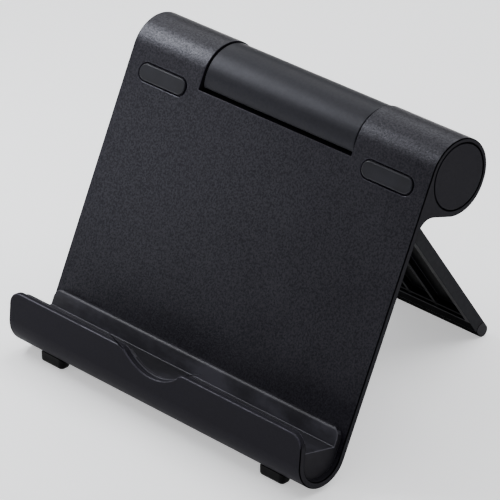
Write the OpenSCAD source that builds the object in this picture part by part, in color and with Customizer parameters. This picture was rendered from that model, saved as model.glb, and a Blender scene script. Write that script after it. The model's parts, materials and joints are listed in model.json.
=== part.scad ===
// Folding tablet stand: a J-shaped backrest, and a leg that turns on two friction hinges.
// X runs along the hinge, the front of the stand faces -Y, and Z = 0 is the surface it stands on.
// The backrest is drawn in its own frame (y up the plate, z out of its front face) and the leg in the
// hinge's frame, folded flat behind the plate (y = 0, z = 0 on the hinge axis). Two modules turn them.

/* [Backrest] */
// Width of the backrest and of the ledge
stand_w = 120; // [114:1:126]
// Thickness of the plate, of the bend and of the lip
plate_t = 2; // [1.8:0.1:2.2]
// Distance up the plate from the liner's top edge to the hinge axis
axis_up = 75.3; // [72:0.1:80]
// Angle between the backrest and the floor with the leg at rest
lean = 65; // [62:1:68]
// Outer radius of the round hinge ears
ear_r = 11.2; // [11:0.1:11.6]
// Radius of the open inside of each ear, which its cap closes
ear_bore_r = 9.8; // [9.6:0.1:10]
// Width of the opening between the ears
notch_w = 61.2; // [61:0.1:62]
// Distance from the hinge axis down to the plate's edge in that opening
notch_drop = 5.1; // [5:0.1:6]

/* [Ledge] */
// Outer radius of the bend from the plate to the lip
bend_r = 9.1; // [8.8:0.1:9.6]
// Distance from the liner's top edge down to the centre of the bend
bend_drop = 8.2; // [8:0.1:9]
// Angle between the lip and the plate
lip_angle = 20; // [15:1:25]
// Height of the flat part of the lip
lip_len = 9; // [8:0.1:10]
// Radius of the lip's upper corners
lip_corner_r = 4; // [3:0.5:5]
// Width of the thumb notch at the lip's top edge
thumb_w = 23.7; // [20:0.1:28]
// Depth of the thumb notch
thumb_depth = 5.2; // [4:0.1:6]

/* [Rubber parts] */
// Thickness of the liner's strip on the plate
strip_t = 2; // [1.6:0.1:2.4]
// Thickness of the liner's wall behind the lip
liner_wall_t = 1.2; // [1:0.1:1.5]
// Distance from the ledge's ends to the liner's ends
liner_inset = 1.6; // [1:0.1:2.5]
// Length of a grip pad
pad_l = 18.9; // [16:0.1:22]
// Width of a grip pad
pad_w = 4.9; // [4:0.1:6]
// How far a grip pad stands out of the plate
pad_proud = 0.4; // [0.2:0.1:0.6]
// Distance between the middles of the two grip pads
pad_pitch = 90; // [86:1:92]
// How far the front feet reach below the bend
foot_drop = 1.5; // [1.2:0.1:2]
// Distance from the lowest point of the bend forward to the middle of a front foot
foot_forward = 4.1; // [3:0.1:4.2]
// Width of a front foot
foot_w = 9.6; // [8:0.1:12]
// Depth of a front foot from front to back
foot_depth = 3.9; // [3.4:0.1:4.4]
// Distance between the middles of the front feet
foot_pitch = 91; // [80:1:96]

/* [Leg] */
// Width of the leg and of the barrel
leg_w = 60; // [58:0.5:60]
// Thickness of the leg
leg_t = 4; // [3.8:0.1:4.2]
// Distance from the hinge axis to the centre of the leg foot's round edge
leg_len = 88.8; // [86:0.1:90]
// Outer radius of the barrel between the ears
barrel_r = 10.8; // [10.6:0.1:10.9]
// How far the leg opens past its rest angle
open_past_rest = 40; // [20:5:45]

/* [Hidden] */
$fn = 96;
HULL_FN = 32;
eps = 0.01;

// Backrest
half_w = stand_w / 2;
pad_drop = 6.4;
pad_y = axis_up - pad_drop;
inner_bend_r = bend_r - plate_t;
bend_cz = inner_bend_r;
notch_gap = 0.5;
web_t = 3.5;
web_in = notch_w / 2;
web_out = web_in + web_t;
// Each ear is longer than round towards the ledge. A straight wall joins it to the fillet at the plate, and
// wall_n is square to that wall
ear_long = 0.5;
ear_low_y = axis_up - ear_long;
fillet_r = 5;
fillet_drop = 17.4;
fillet_cy = axis_up - fillet_drop;
fillet_cz = -plate_t - fillet_r;
wall_turn = atan2(-ear_r - fillet_cz, ear_low_y - fillet_cy)
    + acos((ear_r + fillet_r) / norm([ear_low_y - fillet_cy, -ear_r - fillet_cz]));
wall_n = [cos(wall_turn), sin(wall_turn)];
pocket_depth = 0.8;
pocket_gap = 0.45;
cap_r = ear_bore_r - 0.25;
cap_t = 1.8;
skirt_l = 6;
foot_stem_r = 1.2;
foot_stem_l = 2.2;
foot_top = 3;
foot_round = 1.4;
foot_bevel = 0.6;
strip_edge_r = 0.95;
floor_y = 5.25;
floor_fall = 13;
liner_end_r = 3;
liner_gap = 0.02;
liner_top = lip_len - 0.4;
thumb_r = (pow(thumb_w / 2, 2) + pow(thumb_depth, 2)) / (2 * thumb_depth);

// Barrel and leg
barrel_in_r = 9;
seam_front = 60;
seam_back = 265;
shadow_gap = 8;
inner_z = 8.4;
outer_z = inner_z - leg_t;
foot_nose_r = leg_t / 2;
foot_seat_r = 2.9;
foot_gap = 0.03;
panel_end = -leg_len + foot_seat_r;
rim_w = 1.9;
recess_top = -13;
recess_floor_t = 1.3;
rib_t = 1.2;
rib_x = [-16, -5.3, 5.3, 16];
rib_y = [-22, -38, -80.3];
tongue_t = 1.6;
tongue_l = 2.6;
tongue_inset = 2;
end_wall_t = 1.2;
pocket_floor_z = 7.4;

// Height of the floor below the liner's top edge, and the leg's rest angle from being folded
floor_drop = bend_drop * sin(lean) - bend_cz * cos(lean) + bend_r + foot_drop;
axis_z = axis_up * sin(lean) - ear_r * cos(lean) + floor_drop;
nose_dist = norm([leg_len, inner_z - foot_nose_r]);
leg_slope = asin((axis_z - foot_nose_r) / nose_dist) - atan2(inner_z - foot_nose_r, leg_len);
open_angle = 180 - leg_slope - lean;

// Middle of the whole stand from front to back, in the frame of the liner's top edge
front_y = -bend_drop * cos(lean) - bend_cz * sin(lean) - bend_r;
axis_y = axis_up * cos(lean) + ear_r * sin(lean);
back_y = axis_y + leg_len * cos(leg_slope) - (inner_z - foot_nose_r) * sin(leg_slope) + foot_nose_r;
middle_y = (front_y + back_y) / 2;

// Hinge hardware: places are distances from the middle of the stand along the hinge axis
neck_r = 4;
neck_hole_r = 4.05;
neck_in = 28.6;
shaft_r = 3;
shaft_flat = 4.6;
shaft_end = 16.5;
flange_r = 8.6;
flange_t = 2.2;
flange_screw_at = 6.3;
washer_t = 0.8;
washer_r = 5;
washer_out = neck_in;
arm_out = washer_out - washer_t - 0.05;
arm_t = 2;
arm_r = 6.2;
arm_bore_r = 3.05;
stop_out = arm_out - arm_t - 0.05;
stop_r = 6.6;
stop_core_r = 5.2;
stop_margin = 2;
spring_out = stop_out - washer_t;
spring_t = 0.5;
spring_rise = 0.25;
spring_count = 4;
spring_r = 4.9;
nut_h = 4;
nut_flats = 8;
nut_out = spring_out - spring_count * (spring_t + spring_rise) - 0.1;
foot_plate_t = 1.6;
foot_plate_in = 6.6;
foot_plate_y = [-5, 3.5];
// Half of the angle that the foot plate covers at the stop washer's rim
finger_half = acos((pocket_floor_z - foot_plate_t) / stop_r);
screw_r = 1.25;
pilot_r = 1.05;
bracket_screw_x = [9, 13.2];
cover_screw_x = 3.2;
cover_boss_r = 2.6;
cover_screw_angle = 120;

SOFT = [0.17, 0.17, 0.19];
SHELL = [0.22, 0.22, 0.24];
STEEL = [0.65, 0.66, 0.68];

// ---- Frames ----

// From the backrest's frame to the stand's
module lean_back() {
    translate([0, -middle_y, floor_drop]) rotate([lean, 0, 0]) children();
}

// From the hinge's frame to the stand's, without the leg's turn
module at_hinge() {
    lean_back() translate([0, axis_up, -ear_r]) children();
}

// From the leg's folded frame to the stand's, with the leg at rest
module leg_at_rest() {
    at_hinge() rotate([open_angle, 0, 0]) children();
}

// Extrudes an outline drawn in (y, z) along X, from x0 to x1
module along_x(x0, x1) {
    translate([x0, 0, 0]) rotate([90, 0, 90]) linear_extrude(x1 - x0) children();
}

// A rod or disc along X, from x0 to x1
module rod(r, x0, x1) {
    translate([x0, 0, 0]) rotate([0, 90, 0]) cylinder(r = r, h = x1 - x0);
}

// One part for each side; the left one is the mirror image of the right one
module side(s) {
    if (s > 0) children();
    else mirror([1, 0, 0]) children();
}

// A bar with round ends, along X
module slot_block(l, w, h) {
    linear_extrude(h) {
        square([l - w, w], center = true);
        for (s = [-1, 1]) translate([s * (l - w) / 2, 0]) circle(d = w);
    }
}

// A wedge of a circle between two angles, under 180 degrees apart
module wedge(r, a0, a1) {
    am = (a0 + a1) / 2;
    polygon([[0, 0], r * [cos(a0), sin(a0)], r * [cos(am), sin(am)] / cos((a1 - a0) / 2),
        r * [cos(a1), sin(a1)]]);
}

// ---- Outlines of the backrest, in (y, z) ----

// Places at the lip: a distance out from the bend's centre, and a distance up the lip
function lip_point(r, up) = [-bend_drop - r * sin(lip_angle) + up * cos(lip_angle),
    bend_cz + r * cos(lip_angle) + up * sin(lip_angle)];

// The bend, as part of a ring
module bend_outline() {
    quarter = 100 + lip_angle;
    translate([-bend_drop, bend_cz]) difference() {
        circle(r = bend_r);
        circle(r = inner_bend_r);
        wedge(3 * bend_r, -90, quarter / 2 - 45);
        wedge(3 * bend_r, quarter / 2 - 45, 90 + lip_angle);
    }
}

// The lip, a hair thinner than the bend, with its foot inside the bend's wall
module lip_outline() {
    polygon([lip_point(inner_bend_r + eps, -plate_t / 4), lip_point(bend_r - eps, -plate_t / 4),
        lip_point(bend_r - eps, lip_len), lip_point(inner_bend_r + eps, lip_len)]);
}

// The ear with the solid part that joins it to the plate, and its concave fillet
module ear_outline() {
    difference() {
        union() {
            for (y = [ear_low_y, axis_up]) translate([y, -ear_r]) circle(r = ear_r);
            polygon([[fillet_cy, 0], [axis_up, 0], [axis_up, -ear_r], [ear_low_y, -ear_r],
                [ear_low_y, -ear_r] - (ear_r - eps) * wall_n,
                [fillet_cy, fillet_cz] + (fillet_r + eps) * wall_n, [fillet_cy, fillet_cz]]);
        }
        translate([fillet_cy, fillet_cz]) circle(r = fillet_r);
    }
}

// What rounded upper corners and the thumb notch take away from a wall, drawn flat on the lip
module lip_cuts(half, top) {
    for (s = [-1, 1]) translate([s * (half - lip_corner_r), top - lip_corner_r]) scale([s, 1])
        difference() {
            square(lip_corner_r + 1);
            circle(r = lip_corner_r);
        }
    translate([0, lip_len - thumb_depth + thumb_r]) circle(r = thumb_r);
}

module on_lip() {
    p = lip_point(inner_bend_r, 0);
    translate([0, p[0], p[1]]) rotate([lip_angle, 0, 0]) translate([0, 0, -2]) linear_extrude(6) children();
}

// ---- Body 1: the backrest ----

module backrest() {
    color(SHELL) lean_back() difference() {
        union() {
            along_x(-half_w, half_w) bend_outline();
            along_x(-half_w, half_w) lip_outline();
            translate([-half_w, -bend_drop, -plate_t]) cube([stand_w, bend_drop + axis_up, plate_t]);
            for (s = [-1, 1]) side(s) along_x(web_in, half_w) ear_outline();
        }
        on_lip() lip_cuts(half_w, lip_len);
        // The opening for the barrel, with a hollow edge that follows the barrel
        translate([-web_in, axis_up - notch_drop, -plate_t - 1]) cube([notch_w, 3 * notch_drop, plate_t + 2]);
        translate([0, axis_up, -ear_r]) rod(barrel_r + notch_gap, -web_in, web_in);
        for (s = [-1, 1]) side(s) {
            translate([pad_pitch / 2, pad_y, -pocket_depth])
                slot_block(pad_l + 2 * pocket_gap, pad_w + 2 * pocket_gap, pocket_depth + 1);
            translate([0, axis_up, -ear_r]) {
                rod(ear_bore_r, web_out, half_w + 1);
                rod(neck_hole_r, web_in - 1, half_w);
                flange_screw_places() rod(pilot_r, web_in + 0.5, half_w);
            }
            foot_place() rotate([180, 0, 0]) cylinder(r = foot_stem_r, h = 6, center = true);
        }
    }
}

// The rubber channel: a strip on the plate, a thick floor and a thin wall behind the lip
module ledge_liner() {
    half = half_w - liner_inset;
    lip_in = inner_bend_r - liner_gap;
    wall_r = lip_in - liner_wall_t;
    wall_foot = lip_point(wall_r, 0);
    floor_run = (-floor_y - (wall_foot[1] - strip_t) * tan(floor_fall) - wall_foot[0])
        / (cos(lip_angle) + sin(lip_angle) * tan(floor_fall));
    color(SOFT) lean_back() difference() {
        union() {
            along_x(-half, half) translate([-bend_drop, bend_cz]) circle(r = lip_in);
            along_x(-half, half) polygon([lip_point(wall_r - 1, -1), lip_point(lip_in - liner_gap, -1),
                lip_point(lip_in - liner_gap, liner_top), lip_point(wall_r - 1, liner_top)]);
            along_x(-half, half) translate([-bend_drop, liner_gap])
                square([bend_drop - strip_edge_r, strip_t - liner_gap]);
            along_x(-half, half) translate([-2 * strip_edge_r, liner_gap])
                square([2 * strip_edge_r, strip_t - strip_edge_r - liner_gap]);
            translate([0, -strip_edge_r, strip_t - strip_edge_r]) rod(strip_edge_r, -half, half);
        }
        // The room for the tablet
        along_x(-half_w, half_w) polygon([[-floor_y, strip_t], lip_point(wall_r, floor_run),
            lip_point(wall_r, 2 * lip_len), [2 * lip_len, strip_t]]);
        on_lip() lip_cuts(half, liner_top);
        for (s = [-1, 1]) side(s) translate([half - liner_end_r, -liner_end_r, -1]) difference() {
            cube([liner_end_r + 1, liner_end_r + 1, strip_t + 2]);
            translate([0, 0, -1]) cylinder(r = liner_end_r, h = strip_t + 4);
        }
    }
}

module grip_pad(s) {
    color(SOFT) lean_back() side(s) translate([pad_pitch / 2, pad_y, -pocket_depth])
        slot_block(pad_l, pad_w, pocket_depth + pad_proud);
}

// Below a front foot's middle, level with the lowest point of the bend; the sole is foot_drop lower
module foot_place() {
    translate([foot_pitch / 2, -bend_drop, bend_cz]) rotate([-lean, 0, 0])
        translate([0, -foot_forward, -bend_r]) children();
}

module front_foot(s) {
    color(SOFT) lean_back() side(s) foot_place() {
        difference() {
            hull() for (x = [-1, 1], y = [-1, 1])
                translate([x * (foot_w / 2 - foot_round), y * (foot_depth / 2 - foot_round), -foot_drop]) {
                    cylinder(r = foot_round - foot_bevel, h = foot_drop, $fn = HULL_FN);
                    translate([0, 0, foot_bevel])
                        cylinder(r = foot_round, h = foot_drop + foot_top, $fn = HULL_FN);
                }
            translate([0, foot_forward, bend_r]) rod(bend_r + 0.01, -foot_w, foot_w);
        }
        cylinder(r = foot_stem_r - 0.02, h = foot_stem_l);
    }
}

// Cap of an ear: a disc with a skirt that grips the bore
module end_cap(s) {
    color(SHELL) at_hinge() side(s) difference() {
        union() {
            rod(cap_r, half_w - cap_t, half_w);
            rod(ear_bore_r - 0.02, half_w - skirt_l, half_w - 0.8);
        }
        rod(ear_bore_r - 1.2, half_w - skirt_l - 1, half_w - cap_t);
    }
}

// ---- Hinge hardware that stays with the backrest ----

module flange_screw_places() {
    for (a = [90, 210, 330]) rotate([a, 0, 0]) translate([0, 0, flange_screw_at]) children();
}

// The outline of a shaft with two flats, in (y, z)
module flatted(r, flats) {
    intersection() {
        circle(r = r);
        square([2 * r + 1, flats], center = true);
    }
}

module hinge_shaft(s) {
    color(STEEL) at_hinge() side(s) difference() {
        union() {
            rod(flange_r, web_out, web_out + flange_t);
            rod(neck_r, neck_in, web_out + eps);
            along_x(shaft_end, neck_in + eps) flatted(shaft_r, shaft_flat);
        }
        flange_screw_places() rod(screw_r + 0.1, web_out - 1, web_out + flange_t + 1);
    }
}

module pan_screw(head_x, length) {
    rod(2.1, head_x, head_x + 1.3);
    rod(pilot_r, head_x - length, head_x + eps);
}

module flange_screws() {
    color(STEEL) at_hinge() for (s = [-1, 1]) side(s) flange_screw_places() difference() {
        pan_screw(web_out + flange_t, 5);
        translate([web_out + flange_t + 0.6, -0.3, -1.3]) cube([2, 0.6, 2.6]);
        translate([web_out + flange_t + 0.6, -1.3, -0.3]) cube([2, 2.6, 0.6]);
    }
}

module friction_washer(s) {
    color("gold") at_hinge() side(s) along_x(washer_out - washer_t, washer_out) difference() {
        circle(r = washer_r);
        flatted(shaft_r, shaft_flat);
    }
}

// The rim is cut away where the bracket's foot plate swings past it, so its ends stop the leg
module stop_washer(s) {
    first = 90 - finger_half - stop_margin;
    last = 90 + finger_half + open_angle + open_past_rest + stop_margin;
    mid = (first + last) / 2;
    color("gold") at_hinge() side(s) along_x(stop_out - washer_t, stop_out) difference() {
        circle(r = stop_r);
        difference() {
            union() {
                wedge(2 * stop_r, first, mid);
                wedge(2 * stop_r, mid, last);
            }
            circle(r = stop_core_r);
        }
        flatted(shaft_r, shaft_flat);
    }
}

// One dished spring as a ring whose section is a slanted bar
module disc_spring(x, up) {
    pitch = up ? spring_rise : 0;
    drop = spring_rise - pitch;
    translate([x, 0, 0]) rotate([0, 90, 0]) rotate_extrude()
        polygon([[shaft_r + 0.1, drop], [spring_r, pitch], [spring_r, pitch + spring_t],
            [shaft_r + 0.1, drop + spring_t]]);
}

module disc_springs(s) {
    step = spring_t + spring_rise + eps;
    color(STEEL) at_hinge() side(s) for (i = [0 : spring_count - 1])
        disc_spring(spring_out - (i + 1) * step, i % 2 == 0);
}

module lock_nuts() {
    color(STEEL) at_hinge() for (s = [-1, 1]) side(s) difference() {
        union() {
            rod(nut_flats / 2, nut_out - nut_h, nut_out);
            translate([nut_out - nut_h + 1, 0, 0]) rotate([0, 90, 0])
                cylinder(d = nut_flats / cos(30), h = nut_h - 1, $fn = 6);
        }
        rod(shaft_r + 0.02, nut_out - nut_h - 1, nut_out + 1);
    }
}

// ---- Body 2: the leg, drawn folded ----

// Part of the barrel between two angles, in (y, z). A groove as wide as shadow_gap parts its two halves
// at the front
module barrel_arc(a0, a1) {
    mid = (a0 + a1) / 2;
    intersection() {
        circle(r = barrel_r);
        union() {
            wedge(2 * barrel_r, a0, mid);
            wedge(2 * barrel_r, mid, a1);
        }
    }
}

module barrel_inside() {
    circle(r = barrel_in_r);
}

module cover_screw_place() {
    for (s = [-1, 1]) translate([s * cover_screw_x, 0, 0]) rotate([cover_screw_angle - 90, 0, 0]) children();
}

module leg_panel() {
    half = leg_w / 2;
    color(SHELL) leg_at_rest() difference() {
        union() {
            // The rear half of the barrel, with a thick floor for the brackets
            along_x(-half, half) difference() {
                barrel_arc(seam_front, seam_back);
                intersection() {
                    barrel_inside();
                    translate([-barrel_r, -barrel_r]) square([2 * barrel_r, barrel_r + pocket_floor_z]);
                }
            }
            for (s = [-1, 1]) side(s) along_x(half - end_wall_t, half) difference() {
                barrel_arc(seam_front, seam_back);
                circle(r = neck_r + 0.6);
            }
            // The panel
            along_x(-half, half) difference() {
                translate([foot_nose_r - leg_len, outer_z]) square([leg_len - foot_nose_r, leg_t]);
                circle(r = barrel_in_r + 0.5);
                translate([-leg_len, inner_z - foot_nose_r]) circle(r = foot_seat_r + foot_gap);
            }
            // Bosses for the cover's screws
            cover_screw_place() translate([0, 0, 0.6]) cylinder(r = cover_boss_r, h = barrel_in_r);
        }
        leg_recess();
        // The groove for the foot's tongue
        translate([tongue_inset - half - 0.1, panel_end - 1, (outer_z + inner_z - tongue_t) / 2])
            cube([leg_w - 2 * tongue_inset + 0.2, tongue_l + 1.02, tongue_t]);
        for (s = [-1, 1]) side(s) bracket_screw_places() translate([0, 0, pocket_floor_z - 1])
            cylinder(r = pilot_r, h = 3.6);
        cover_screw_place() {
            cylinder(r = screw_r + 0.1, h = barrel_r);
            translate([0, 0, barrel_r - 2]) cylinder(r = 2.3, h = 4);
        }
    }
}

// The hollow on the leg's inner side, less its ribs
module leg_recess() {
    half = leg_w / 2;
    bottom = panel_end + rim_w + tongue_l;
    depth = leg_t - recess_floor_t;
    difference() {
        translate([-half + rim_w, bottom, inner_z - depth])
            cube([leg_w - 2 * rim_w, recess_top - bottom, depth + 1]);
        for (x = rib_x) translate([x - rib_t / 2, bottom - 1, 0]) cube([rib_t, leg_len, inner_z - 0.6]);
        for (y = rib_y) translate([-half, y - rib_t / 2, 0]) cube([leg_w, rib_t, inner_z - 0.6]);
    }
}

module barrel_cover() {
    half = leg_w / 2;
    color(SHELL) leg_at_rest() difference() {
        union() {
            along_x(-half, half) difference() {
                barrel_arc(seam_back - 360 + 0.6, seam_front - shadow_gap);
                barrel_inside();
            }
            for (s = [-1, 1]) side(s) along_x(half - end_wall_t, half) difference() {
                barrel_arc(seam_back - 360 + 0.6, seam_front - shadow_gap);
                circle(r = neck_r + 0.6);
            }
            cover_screw_place() translate([0, 0, -barrel_in_r - 0.5])
                cylinder(r = cover_boss_r, h = barrel_in_r);
        }
        cover_screw_place() translate([0, 0, -6]) cylinder(r = pilot_r, h = 8);
    }
}

// The leg's rubber edge: a round nose, a curved back that sits in the leg's end, and a hidden tongue
module leg_foot() {
    half = leg_w / 2;
    mid_z = (outer_z + inner_z) / 2;
    color(SOFT) leg_at_rest() translate([0, -leg_len, mid_z]) union() {
        along_x(-half, half) circle(r = foot_nose_r);
        along_x(-half, half) intersection() {
            circle(r = foot_seat_r);
            translate([0, -foot_nose_r]) square([leg_t, leg_t]);
        }
        along_x(tongue_inset - half, half - tongue_inset) translate([0, 0.02 - tongue_t / 2])
            square([foot_seat_r + tongue_l - 0.05, tongue_t - 0.04]);
    }
}

module bracket_screw_places() {
    for (x = bracket_screw_x) translate([x, -0.7, 0]) children();
}

module hinge_bracket(s) {
    arm_in = arm_out - arm_t;
    plate_w = foot_plate_y[1] - foot_plate_y[0];
    color(STEEL) leg_at_rest() side(s) difference() {
        union() {
            rod(arm_r, arm_in, arm_out);
            translate([arm_in, foot_plate_y[0], 0]) cube([arm_t, plate_w, pocket_floor_z]);
            translate([foot_plate_in, foot_plate_y[0], pocket_floor_z - foot_plate_t])
                cube([arm_out - foot_plate_in, plate_w, foot_plate_t]);
        }
        rod(arm_bore_r, arm_in - 1, arm_out + 1);
        bracket_screw_places() cylinder(r = screw_r + 0.1, h = 2 * pocket_floor_z);
    }
}

module bracket_screws() {
    head_z = pocket_floor_z - foot_plate_t - 1.2;
    color(STEEL) leg_at_rest() for (s = [-1, 1]) side(s) bracket_screw_places() difference() {
        union() {
            translate([0, 0, head_z]) cylinder(r = 2, h = 1.2);
            translate([0, 0, head_z + 0.5]) cylinder(r = pilot_r, h = 4.7);
        }
        translate([-0.3, -1.2, head_z - 1]) cube([0.6, 2.4, 1.6]);
        translate([-1.2, -0.3, head_z - 1]) cube([2.4, 0.6, 1.6]);
    }
}

module cover_screws() {
    color(STEEL) leg_at_rest() cover_screw_place() difference() {
        union() {
            translate([0, 0, barrel_r - 2]) cylinder(r = 2.1, h = 1.4);
            translate([0, 0, -5.5]) cylinder(r = pilot_r, h = barrel_r + 4);
        }
        translate([-0.3, -1.2, barrel_r - 1.3]) cube([0.6, 2.4, 2]);
        translate([-1.2, -0.3, barrel_r - 1.3]) cube([2.4, 0.6, 2]);
    }
}

backrest();
ledge_liner();
grip_pad(-1);  // grip_pad_left
grip_pad(1);  // grip_pad_right
front_foot(-1);  // front_foot_left
front_foot(1);  // front_foot_right
end_cap(-1);  // end_cap_left
end_cap(1);  // end_cap_right
hinge_shaft(-1);  // hinge_shaft_left
hinge_shaft(1);  // hinge_shaft_right
flange_screws();
friction_washer(-1);  // friction_washer_left
friction_washer(1);  // friction_washer_right
stop_washer(-1);  // stop_washer_left
stop_washer(1);  // stop_washer_right
disc_springs(-1);  // disc_springs_left
disc_springs(1);  // disc_springs_right
lock_nuts();
leg_panel();
barrel_cover();
leg_foot();
hinge_bracket(-1);  // hinge_bracket_left
hinge_bracket(1);  // hinge_bracket_right
bracket_screws();
cover_screws();
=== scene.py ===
"""Looks of the folding tablet stand: shells, rubber parts and hinge hardware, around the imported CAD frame.

Lengths are in metres. X runs along the hinge, the front faces -Y, and the floor is at Z = 0.
"""
import json
import math

import bmesh
import bpy
from mathutils import Matrix, Vector


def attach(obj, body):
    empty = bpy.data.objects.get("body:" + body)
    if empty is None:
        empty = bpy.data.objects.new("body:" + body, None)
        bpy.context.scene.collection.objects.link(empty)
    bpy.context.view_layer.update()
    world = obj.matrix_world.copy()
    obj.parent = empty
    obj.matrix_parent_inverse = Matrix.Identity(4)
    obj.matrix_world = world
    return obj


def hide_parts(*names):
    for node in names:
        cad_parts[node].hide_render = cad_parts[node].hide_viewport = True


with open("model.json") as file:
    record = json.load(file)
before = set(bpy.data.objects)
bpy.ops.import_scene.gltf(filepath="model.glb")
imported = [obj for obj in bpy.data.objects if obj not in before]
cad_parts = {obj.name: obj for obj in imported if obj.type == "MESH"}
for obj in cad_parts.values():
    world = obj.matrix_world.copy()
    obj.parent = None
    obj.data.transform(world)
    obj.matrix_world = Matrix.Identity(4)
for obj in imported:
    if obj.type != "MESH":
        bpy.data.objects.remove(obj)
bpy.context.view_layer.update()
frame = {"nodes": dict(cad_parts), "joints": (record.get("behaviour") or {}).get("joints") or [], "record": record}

MM = 0.001

# Camera: direction and distance from a point near the stand's middle
VIEW_AZIMUTH = 45.711
VIEW_ELEVATION = 27.158
VIEW_ROLL = 0.083
VIEW_DISTANCE = 1.095
VIEW_TARGET = Vector((-4.78, -9.90, 38.15)) * MM
VIEW_LENS = 275.3

# Corners closer than this are one corner, which also closes the hairline steps between a shell's parts
WELD = 0.03 * MM
# Edges that turn by more than this are rounded, and facets that turn by less than FLAT are joined
SHARP = math.radians(25)
FLAT = math.radians(0.3)
EDGE_STEPS = 3
# Radii of the rounded edges
EDGE_RADIUS = {
    "shell": 0.3 * MM, "opening": 0.12 * MM, "liner": 0.2 * MM, "leg": 0.2 * MM, "nose": 0.15 * MM,
    "pad": 0.38 * MM, "foot": 0.4 * MM, "cap": 0.15 * MM, "barrel": 0.3 * MM,
}

# Radius where the thumb notch meets the top of the lip, and how far from the middle those corners lie
THUMB_CORNER = 1.2 * MM
THUMB_SPAN = (11.0 * MM, 12.3 * MM)
THUMB_STEPS = 6
# Half the width of the opening between the ears, and how far below the pads it may reach
OPENING_HALF = 30.7 * MM
OPENING_BELOW = 5 * MM
# The shell's end edges lie further than this from its middle
END_EDGE = 59.68 * MM
# The shell's grain ends this far below the ledge's floor, measured along the plate
SMOOTH_BELOW = 1.8 * MM
# The lip lies further than this in front of the pads
LIP_CLEAR = 3 * MM
# Bounds of the leg's recess: half its width, its start along the leg, and its span off the hinge axis
RECESS_HALF = 28.2 * MM
RECESS_START = 12 * MM
RECESS_SPAN = (5.0 * MM, 8.3 * MM)
# The leg's lower rim is painted near-black as shade beyond this distance from the hinge axis, clear of the
# recess's rounded edge
LEG_RIM = 81.9 * MM
# A face whose normal has more than this share along a direction faces that way
FACING = 0.9
FACING_UP = 0.8
# Tint of the gloss on black plastic
COOL = (0.86, 0.87, 1.0, 1.0)
FLOOR_HALF = 40.0
# Brightness of the studio by how high one looks: dim near the floor and bright overhead
SKY_GLOW = {"From Min": 0.1, "From Max": 0.8, "To Min": 0.06, "To Max": 0.75}

# ---- Places taken from the frame ----

mounts = {m["name"]: m for m in frame["record"]["mounts"]}
joint = frame["joints"][0]
# The pads, the direction out of the plate's front and the direction up along it
pad_place = Vector(mounts["tablet_back_left"]["pos_m"])
plate_out = Vector(mounts["tablet_back_left"]["axis"])
plate_up = Vector((1, 0, 0)).cross(-plate_out).normalized()
grain_end = Vector(mounts["tablet_ledge"]["pos_m"]).dot(plate_up) - SMOOTH_BELOW
lip_start = pad_place.dot(plate_out) + LIP_CLEAR
# The leg's inner side faces leg_in, and its foot is towards leg_down
hinge_axis = Vector(joint["pos_m"])
leg_in = Matrix.Rotation(math.radians(-joint["range_deg"][0]), 3, "X") @ plate_out
leg_down = leg_in.cross(Vector((1, 0, 0))).normalized()
if leg_down.z > 0:
    leg_down.negate()


# ---- Node materials ----

def srgb(r, g, b):
    """A colour given as 0-255 screen values, as linear numbers."""
    def linear(v):
        v /= 255
        return v / 12.92 if v <= 0.04045 else ((v + 0.055) / 1.055) ** 2.4
    return (linear(r), linear(g), linear(b), 1.0)


def paler(colour, times):
    return tuple(min(1.0, times * v) for v in colour[:3]) + (1.0,)


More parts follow.
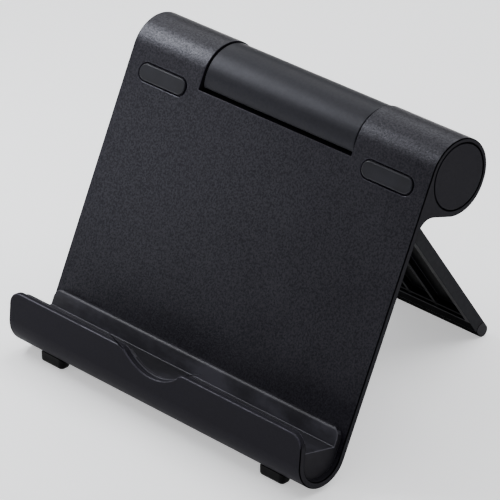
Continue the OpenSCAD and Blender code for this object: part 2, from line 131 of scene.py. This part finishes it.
class Material:
    """A node tree with a Principled shader, and short calls that add nodes to it."""

    def __init__(self, name, **constants):
        self.material = bpy.data.materials.new(name)
        self.material.use_nodes = True
        self.tree = self.material.node_tree
        self.shader = self.tree.nodes["Principled BSDF"]
        for socket, value in constants.items():
            self.shader.inputs[socket.replace("_", " ")].default_value = value
        self.place = self.add("ShaderNodeTexCoord").outputs["Object"]

    def add(self, kind, settings=None, **inputs):
        node = self.tree.nodes.new(kind)
        for key, value in (settings or {}).items():
            setattr(node, key, value)
        for socket, value in inputs.items():
            self.feed(node.inputs[socket.replace("_", " ")], value)
        return node

    def feed(self, socket, value):
        if isinstance(value, bpy.types.NodeSocket):
            self.tree.links.new(value, socket)
        else:
            socket.default_value = value

    def noise(self, size, detail=3.0, rough=0.5, stretch=(1, 1, 1)):
        """Cloudy noise, 0 to 1, whose blobs are about size metres across."""
        place = self.place
        if tuple(stretch) != (1, 1, 1):
            place = self.add("ShaderNodeMapping", Vector=place, Scale=stretch).outputs["Vector"]
        node = self.add("ShaderNodeTexNoise", Vector=place, Scale=0.5 / size, Detail=detail, Roughness=rough)
        return node.outputs["Fac"]

    def cells(self, size, smooth=0.6):
        """Rounded cells about size metres across: 0 in their middles."""
        wobble = self.add("ShaderNodeTexNoise", Vector=self.place, Scale=0.35 / size, Detail=2.0)
        shift = self.add("ShaderNodeVectorMath", {"operation": "SCALE"})
        self.feed(shift.inputs[0], wobble.outputs["Color"])
        shift.inputs["Scale"].default_value = size * 0.9
        moved = self.add("ShaderNodeVectorMath", {"operation": "ADD"})
        self.feed(moved.inputs[0], self.place)
        self.feed(moved.inputs[1], shift.outputs[0])
        node = self.add("ShaderNodeTexVoronoi", {"feature": "SMOOTH_F1"}, Vector=moved.outputs[0],
                        Scale=1 / size, Smoothness=smooth)
        return node.outputs["Distance"]

    def spread(self, value, low, high, start=0.0, end=1.0):
        """Maps start..end of a value onto low..high."""
        node = self.add("ShaderNodeMapRange", Value=value)
        for socket, number in zip(("From Min", "From Max", "To Min", "To Max"), (start, end, low, high)):
            node.inputs[socket].default_value = number
        return node.outputs["Result"]

    def combine(self, a, b, operation="ADD"):
        """Two values put together by an operation of the Math node."""
        node = self.add("ShaderNodeMath", {"operation": operation})
        self.feed(node.inputs[0], a)
        self.feed(node.inputs[1], b)
        return node.outputs[0]

    def mix(self, share, a, b):
        """Colour a, turning into colour b as the share goes from 0 to 1."""
        node = self.add("ShaderNodeMix", {"data_type": "RGBA"})
        self.feed(node.inputs["Factor"], share)
        self.feed(node.inputs[6], a)
        self.feed(node.inputs[7], b)
        return node.outputs[2]

    def edge(self):
        """1 on the rounded edges that round_edges made, 0 elsewhere."""
        return self.add("ShaderNodeAttribute", {"attribute_name": "edge"}).outputs["Fac"]

    def bump(self, height, depth):
        """Relief: height 0..1 times depth in metres."""
        node = self.add("ShaderNodeBump", Height=height, Distance=depth, Strength=1.0)
        self.feed(self.shader.inputs["Normal"], node.outputs["Normal"])

    def colour(self, value):
        self.feed(self.shader.inputs["Base Color"], value)

    def roughness(self, value):
        self.feed(self.shader.inputs["Roughness"], value)


def plastic(name, dark, light, rough, grain, depth, specular, wear_and_highlight=1.35, glint=0.1, ior=1.5):
    """Moulded plastic with a fine grain, faint cloudiness and slightly polished edges.

    The gloss varies from grain to grain by the share glint, and the rounded edges are wear_and_highlight times as
    pale: partly wear, partly painted highlight.
    """
    m = Material(name, Specular_Tint=COOL, IOR=ior)
    clouds = m.noise(18 * MM, 4.0, 0.6)
    specks = m.noise(grain, 2.0)
    body = m.mix(m.spread(m.combine(clouds, specks, "MULTIPLY"), 0, 1, 0.12, 0.42), dark, light)
    # Paler rounded edges: partly wear, partly painted highlight
    worn_and_lit_edges = m.combine(m.edge(), m.spread(m.noise(6 * MM), 0.2, 0.9, 0.35, 0.65), "MULTIPLY")
    m.colour(m.mix(worn_and_lit_edges, body, paler(light, wear_and_highlight)))
    mottle = m.spread(m.noise(9 * MM, 5.0, 0.65), rough - 0.04, rough + 0.05, 0.3, 0.7)
    m.roughness(m.combine(mottle, m.combine(worn_and_lit_edges, 0.12, "MULTIPLY"), "SUBTRACT"))
    pits = m.combine(m.cells(grain * 1.6, 0.3), 0.45, "MULTIPLY")
    glints = m.noise(1.2 * grain, 2.0, 0.6)
    gloss = m.spread(glints, (1 - glint) * specular, (1 + glint) * specular, 0.38, 0.62)
    m.feed(m.shader.inputs["Specular IOR Level"], gloss)
    off_edge = m.spread(m.edge(), 1.0, 0.35)
    m.bump(m.combine(m.combine(m.noise(grain, 2.0, 0.6), pits), off_edge, "MULTIPLY"), depth)
    return m.material


def rubber(name, dark, light, rough, grain, depth, specular, ior=1.5):
    """Soft rubber: matt, with a dusty bloom in patches and faint handling marks."""
    m = Material(name, Specular_IOR_Level=specular, IOR=ior)
    bloom = m.noise(7 * MM, 5.0, 0.65)
    marks = m.noise(4 * MM, 4.0, 0.7, (0.25, 1, 1))
    dust = m.spread(m.combine(bloom, marks, "MULTIPLY"), 0, 1, 0.2, 0.34)
    # Paler rounded edges: partly wear, partly painted highlight
    worn_and_lit_edges = m.combine(m.edge(), m.spread(m.noise(5 * MM), 0.2, 0.8, 0.35, 0.65), "MULTIPLY")
    body = m.mix(dust, dark, light)
    m.colour(m.mix(worn_and_lit_edges, body, paler(light, 1.3)))
    m.roughness(m.spread(marks, rough - 0.05, rough + 0.05, 0.3, 0.7))
    m.bump(m.combine(m.noise(grain, 4.0, 0.6), m.combine(m.cells(grain * 3), 0.5, "MULTIPLY")), depth)
    return m.material


def metal(name, colour, rough, streak, tarnish=(0.3, 0.25, 0.2, 1)):
    """Turned or rolled metal with fine streaks and a little tarnish."""
    m = Material(name, Metallic=1.0)
    lines = m.noise(0.4 * MM, 3.0, 0.6, streak)
    stain = m.spread(m.noise(3 * MM, 5.0, 0.6), 0, 0.35, 0.45, 0.75)
    m.colour(m.mix(stain, colour, tarnish))
    m.roughness(m.spread(lines, rough - 0.08, rough + 0.12, 0.3, 0.7))
    m.bump(lines, 0.01 * MM)
    return m.material


# ---- Mesh work ----

def copy_of(node, name):
    """A new object with a clean copy of a CAD node's mesh: joined corners, and flat faces made whole."""
    mesh = frame["nodes"][node].data.copy()
    mesh.name = name
    piece = bpy.data.objects.new(name, mesh)
    bpy.context.scene.collection.objects.link(piece)
    bm = bmesh.new()
    bm.from_mesh(mesh)
    bmesh.ops.remove_doubles(bm, verts=bm.verts, dist=WELD)
    bmesh.ops.dissolve_limit(bm, angle_limit=FLAT, verts=bm.verts, edges=bm.edges)
    return piece, bm


def sharp_edges(bm):
    return [e for e in bm.edges if len(e.link_faces) == 2 and e.calc_face_angle(0) > SHARP]


def round_edges(bm, edges, radius):
    """Rounds the edges and marks the new faces, so that the material can show wear and painted highlights on them.
    """
    mark = bm.faces.layers.float.get("edge") or bm.faces.layers.float.new("edge")
    made = bmesh.ops.bevel(bm, geom=list(edges), offset=radius, offset_type="OFFSET", segments=EDGE_STEPS,
                           profile=0.5, affect="EDGES", clamp_overlap=False, miter_outer="SHARP")
    for face in made["faces"]:
        face[mark] = 1.0
    return made


def finish_piece(piece, bm, body, slot, materials, *nodes):
    """Writes the mesh, shades it smooth, and puts the piece in its place on a CAD body."""
    for face in bm.faces:
        face.smooth = True
    piece.data.materials.clear()
    for material in materials:
        piece.data.materials.append(material)
    bm.to_mesh(piece.data)
    bm.free()
    shading = piece.modifiers.new("weighted_normals", "WEIGHTED_NORMAL")
    shading.keep_sharp = True
    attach(piece, body)
    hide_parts(*nodes)


def rounded_copy(node, name, body, slot, material, radius):
    """A whole piece: a CAD node with rounded edges, in one material."""
    piece, bm = copy_of(node, name)
    round_edges(bm, sharp_edges(bm), radius)
    finish_piece(piece, bm, body, slot, [material], node)


# ---- Materials ----

# The shell's rounded edges, such as the pad pockets and the thumb notch, are three times as pale: partly wear,
# partly painted highlight
shell_grain = plastic("shell_grain", srgb(15, 13, 18), srgb(20, 18, 24), rough=0.385, grain=0.25 * MM,
                      depth=0.045 * MM, specular=0.31, wear_and_highlight=3, glint=0.35)
shell_smooth = plastic("shell_smooth", srgb(28, 27, 31), srgb(32, 31, 36), rough=0.5, grain=0.3 * MM,
                       depth=0.003 * MM, specular=0.03, wear_and_highlight=1.1)
barrel_satin = plastic("barrel_satin", srgb(20, 20, 24), srgb(25, 25, 29), rough=0.43, grain=0.35 * MM,
                       depth=0.006 * MM, specular=0.2)
cap_satin_and_end_shade = plastic("cap_satin_and_end_shade", srgb(20, 19, 23), srgb(23, 22, 26), rough=0.45, grain=0.3 * MM,
                    depth=0.004 * MM, specular=0.05)
leg_plastic = plastic("leg_plastic", srgb(13, 13, 15), srgb(17, 17, 20), rough=0.5, grain=0.6 * MM,
                      depth=0.02 * MM, specular=0.07)
liner_rubber = rubber("liner_rubber", srgb(38, 37, 42), srgb(58, 57, 64), rough=0.44, grain=0.25 * MM,
                      depth=0.01 * MM, specular=0.2)
# Painted shade: the liner's up-facing floor and top, and its ends, are darker than its walls
liner_shaded_floor = rubber("liner_shaded_floor", srgb(18, 17, 21), srgb(34, 33, 38), rough=0.5, grain=0.25 * MM,
                     depth=0.01 * MM, specular=0.1)
liner_shaded_end = rubber("liner_shaded_end", srgb(24, 23, 27), srgb(30, 29, 33), rough=0.5, grain=0.25 * MM,
                   depth=0.01 * MM, specular=0.05)
pad_rubber = rubber("pad_rubber", srgb(22, 22, 27), srgb(29, 29, 35), rough=0.42, grain=0.2 * MM,
                    depth=0.006 * MM, specular=0.23)
nose_end = rubber("nose_end", srgb(22, 21, 25), srgb(28, 27, 32), rough=0.5, grain=0.2 * MM,
                  depth=0.004 * MM, specular=0.1)

# Nearly black surfaces. Their low IOR keeps the pale floor's reflection off them. The near-black of the shell's
# end edges, the leg's recess and the leg's lower rim is painted shade, and the tenfold paler rounded edges of the
# recess and rim are painted highlights; the leg's rubber nose and the front feet are black rubber.
shell_shaded_edge = plastic("shell_shaded_edge", srgb(4, 4, 5), srgb(6, 6, 7), rough=0.5, grain=0.3 * MM,
                     depth=0.003 * MM, specular=0.02, wear_and_highlight=1.0, ior=1.1)
leg_recess = plastic("leg_recess", srgb(5, 5, 6), srgb(7, 7, 8), rough=0.5, grain=0.3 * MM,
                     depth=0.01 * MM, specular=0.06, wear_and_highlight=10, ior=1.25)
leg_rim_shade = plastic("leg_rim_shade", srgb(4, 4, 5), srgb(6, 6, 7), rough=0.55, grain=0.3 * MM,
                  depth=0.01 * MM, specular=0.03, wear_and_highlight=10, ior=1.12)
nose_rubber = rubber("nose_rubber", srgb(4, 4, 5), srgb(7, 7, 8), rough=0.5, grain=0.2 * MM,
                     depth=0.004 * MM, specular=0.03, ior=1.1)
foot_rubber = rubber("foot_rubber", srgb(2, 2, 3), srgb(4, 4, 5), rough=0.26, grain=0.2 * MM,
                     depth=0.004 * MM, specular=0.3, ior=1.2)

steel = metal("steel", srgb(190, 192, 196), 0.3, (0.2, 1, 1))
spring_steel = metal("spring_steel", srgb(150, 150, 155), 0.35, (1, 0.2, 1))
bronze = metal("bronze", srgb(205, 160, 90), 0.35, (1, 1, 0.3), srgb(120, 80, 40))
black_screw = metal("black_screw", srgb(45, 45, 48), 0.35, (1, 1, 1), srgb(70, 60, 55))


# ---- Pieces ----

def notch_corners(bm):
    """The edges through the lip's or the liner's thickness where the thumb notch meets the top."""
    found = []
    for edge in sharp_edges(bm):
        a, b = (v.co for v in edge.verts)
        across = abs(a.x - b.x) < WELD and abs(a.y - b.y) > 0.9 * edge.calc_length()
        if across and all(THUMB_SPAN[0] < abs(v.x) < THUMB_SPAN[1] for v in (a, b)):
            found.append(edge)
    return found


def round_notch(bm):
    bmesh.ops.bevel(bm, geom=notch_corners(bm), offset=THUMB_CORNER, offset_type="OFFSET",
                    segments=THUMB_STEPS, profile=0.5, affect="EDGES")


def build_shell():
    """The backrest: grained on the plate and ears, smooth on the ledge, and on its two ends the caps' dull satin,
    which keeps them dim as painted shade.

    The edges around the ends are darker: painted shade.
    """
    grained, smooth, end, shaded_end_edge = range(4)
    piece, bm = copy_of("backrest", "backrest_shell")
    round_notch(bm)
    for face in bm.faces:
        middle = face.calc_center_median()
        on_plate = middle.dot(plate_up) > grain_end and middle.dot(plate_out) < lip_start
        # Painted shade: the end faces take the caps' dull satin so that they stay dim
        if abs(face.normal.x) > FACING:
            face.material_index = end
        else:
            face.material_index = grained if on_plate else smooth
    edges = sharp_edges(bm)
    lowest = pad_place.dot(plate_up) - OPENING_BELOW
    opening = [e for e in edges if all(abs(v.co.x) < OPENING_HALF for v in e.verts)
               and all(v.co.dot(plate_up) > lowest for v in e.verts)]
    rest = [e for e in edges if e not in opening]
    # Painted shade: the rounded edges around the ends are near-black
    for face in round_edges(bm, rest, EDGE_RADIUS["shell"])["faces"]:
        if abs(face.calc_center_median().x) > END_EDGE:
            face.material_index = shaded_end_edge
    round_edges(bm, [e for e in opening if e.is_valid], EDGE_RADIUS["opening"])
    finish_piece(piece, bm, "backrest", "shell",
                 [shell_grain, shell_smooth, cap_satin_and_end_shade, shell_shaded_edge], "backrest")


def build_liner():
    """The ledge's rubber, with painted shade: darker on its flat floor and top than on its walls, and in between
    on its ends.
    """
    wall, end, flat = range(3)
    piece, bm = copy_of("ledge_liner", "ledge_liner_rubber")
    round_notch(bm)
    # Painted shade: the up-facing floor and top get a darker rubber, and the ends one in between
    for face in bm.faces:
        if face.normal.dot(plate_up) > FACING_UP:
            face.material_index = flat
        else:
            face.material_index = end if abs(face.normal.x) > FACING else wall
    round_edges(bm, sharp_edges(bm), EDGE_RADIUS["liner"])
    finish_piece(piece, bm, "backrest", "liner", [liner_rubber, liner_shaded_end, liner_shaded_floor], "ledge_liner")


def build_leg():
    """The leg's panel: its ribbed recess and the rim below that are painted near-black as shade, with painted
    highlights on their rounded edges.
    """
    outside, recess, lower_rim = range(3)
    piece, bm = copy_of("leg_panel", "leg_panel_shell")
    bmesh.ops.bisect_plane(bm, geom=bm.verts[:] + bm.edges[:] + bm.faces[:],
                           plane_co=hinge_axis + LEG_RIM * leg_down, plane_no=leg_down)
    for face in bm.faces:
        from_axis = face.calc_center_median() - hinge_axis
        depth, along = from_axis.dot(leg_in), from_axis.dot(leg_down)
        inside = (abs(from_axis.x) < RECESS_HALF and along > RECESS_START
                  and RECESS_SPAN[0] < depth < RECESS_SPAN[1])
        on_rim = along > LEG_RIM and abs(face.normal.dot(leg_in)) > FACING and depth > RECESS_SPAN[1]
        # Painted shade: the recess and the lower rim get near-black materials
        if inside:
            face.material_index = recess
        else:
            face.material_index = lower_rim if on_rim else outside
    round_edges(bm, sharp_edges(bm), EDGE_RADIUS["leg"])
    finish_piece(piece, bm, "leg", "leg", [leg_plastic, leg_recess, leg_rim_shade], "leg_panel")


def build_leg_foot():
    """The strip along the leg's lower edge, with paler ends."""
    piece, bm = copy_of("leg_foot", "leg_foot_rubber")
    for face in bm.faces:
        face.material_index = int(abs(face.normal.x) > FACING)
    round_edges(bm, sharp_edges(bm), EDGE_RADIUS["nose"])
    finish_piece(piece, bm, "leg", "foot", [nose_rubber, nose_end], "leg_foot")


build_shell()
build_liner()
build_leg()
for hand in ("left", "right"):
    rounded_copy(f"grip_pad_{hand}", f"grip_pad_rubber_{hand}", "backrest", "pad", pad_rubber,
                 EDGE_RADIUS["pad"])
    rounded_copy(f"front_foot_{hand}", f"front_foot_rubber_{hand}", "backrest", "foot", foot_rubber,
                 EDGE_RADIUS["foot"])
    rounded_copy(f"end_cap_{hand}", f"end_cap_disc_{hand}", "backrest", "cap", cap_satin_and_end_shade,
                 EDGE_RADIUS["cap"])
rounded_copy("barrel_cover", "barrel_cover_shell", "leg", "barrel", barrel_satin, EDGE_RADIUS["barrel"])
build_leg_foot()

# The hinge's parts stay plain CAD solids, each with a metal finish
HARDWARE = {
    "hinge_shaft_left": steel, "hinge_shaft_right": steel, "lock_nuts": steel,
    "hinge_bracket_left": steel, "hinge_bracket_right": steel,
    "disc_springs_left": spring_steel, "disc_springs_right": spring_steel,
    "friction_washer_left": bronze, "friction_washer_right": bronze,
    "stop_washer_left": bronze, "stop_washer_right": bronze,
    "flange_screws": black_screw, "bracket_screws": black_screw, "cover_screws": black_screw,
}
for node, finish in HARDWARE.items():
    for index in range(len(frame["nodes"][node].material_slots)):
        frame["nodes"][node].material_slots[index].material = finish

# ---- Floor ----

floor_mesh = bpy.data.meshes.new("floor")
bm = bmesh.new()
bmesh.ops.create_grid(bm, x_segments=2, y_segments=2, size=FLOOR_HALF)
bm.to_mesh(floor_mesh)
bm.free()
floor = bpy.data.objects.new("floor", floor_mesh)
bpy.context.scene.collection.objects.link(floor)
paper = Material("floor_paper", Roughness=0.9, Specular_IOR_Level=0.1, Emission_Color=srgb(246, 246, 247),
                 Emission_Strength=0.6)
paper.colour(paper.mix(paper.noise(50 * MM), srgb(240, 240, 241), srgb(246, 246, 246)))
floor.data.materials.append(paper.material)


# ---- Light and camera ----

def direction(azimuth, elevation):
    """Unit vector towards a place seen from the stand: azimuth 0 is in front, 90 to the right."""
    a, e = math.radians(azimuth), math.radians(elevation)
    return Vector((math.sin(a) * math.cos(e), -math.cos(a) * math.cos(e), math.sin(e)))


def softbox(name, azimuth, elevation, distance, width, height, power, colour):
    """An area light that faces the stand: angles in degrees, lengths in metres and power in watts."""
    light = bpy.data.lights.new(name, "AREA")
    light.shape = "RECTANGLE"
    light.size = width
    light.size_y = height
    light.energy = power
    light.color = colour
    lamp = bpy.data.objects.new(name, light)
    towards = direction(azimuth, elevation)
    lamp.location = VIEW_TARGET + towards * distance
    lamp.rotation_euler = towards.to_track_quat("Z", "Y").to_euler()
    bpy.context.scene.collection.objects.link(lamp)


softbox("behind", 170, 60, 1.2, 1.4, 1.0, 12.5, (0.97, 0.98, 1.0))
softbox("behind_left", -122, 40, 0.9, 0.7, 0.5, 1.3, (0.95, 0.97, 1.0))
softbox("key", -74, 42, 0.32, 0.15, 0.1, 0.74, (0.95, 0.97, 1.0))
softbox("left", -49, 14.3, 0.25, 0.06, 0.06, 0.04, (0.93, 0.95, 1.0))

world = bpy.data.worlds.new("studio")
world.use_nodes = True
sky = world.node_tree.nodes
height = sky.new("ShaderNodeSeparateXYZ")
world.node_tree.links.new(sky.new("ShaderNodeTexCoord").outputs["Generated"], height.inputs[0])
glow = sky.new("ShaderNodeMapRange")
glow.interpolation_type = "SMOOTHSTEP"
for socket, number in SKY_GLOW.items():
    glow.inputs[socket].default_value = number
world.node_tree.links.new(height.outputs["Z"], glow.inputs["Value"])
world.node_tree.links.new(glow.outputs["Result"], sky["Background"].inputs["Strength"])
sky["Background"].inputs["Color"].default_value = (0.98, 0.985, 1, 1)
bpy.context.scene.world = world

lens = bpy.data.cameras.new("camera")
lens.sensor_width = 36
lens.lens = VIEW_LENS
lens.clip_start = 0.05
lens.clip_end = 20
camera = bpy.data.objects.new("camera", lens)
back = direction(VIEW_AZIMUTH, VIEW_ELEVATION)
right = Vector((0, 0, 1)).cross(back).normalized()
up = back.cross(right)
turn = Matrix((right, up, back)).transposed() @ Matrix.Rotation(math.radians(VIEW_ROLL), 3, "Z")
camera.matrix_world = Matrix.Translation(VIEW_TARGET + back * VIEW_DISTANCE) @ turn.to_4x4()
bpy.context.scene.collection.objects.link(camera)
bpy.context.scene.camera = camera
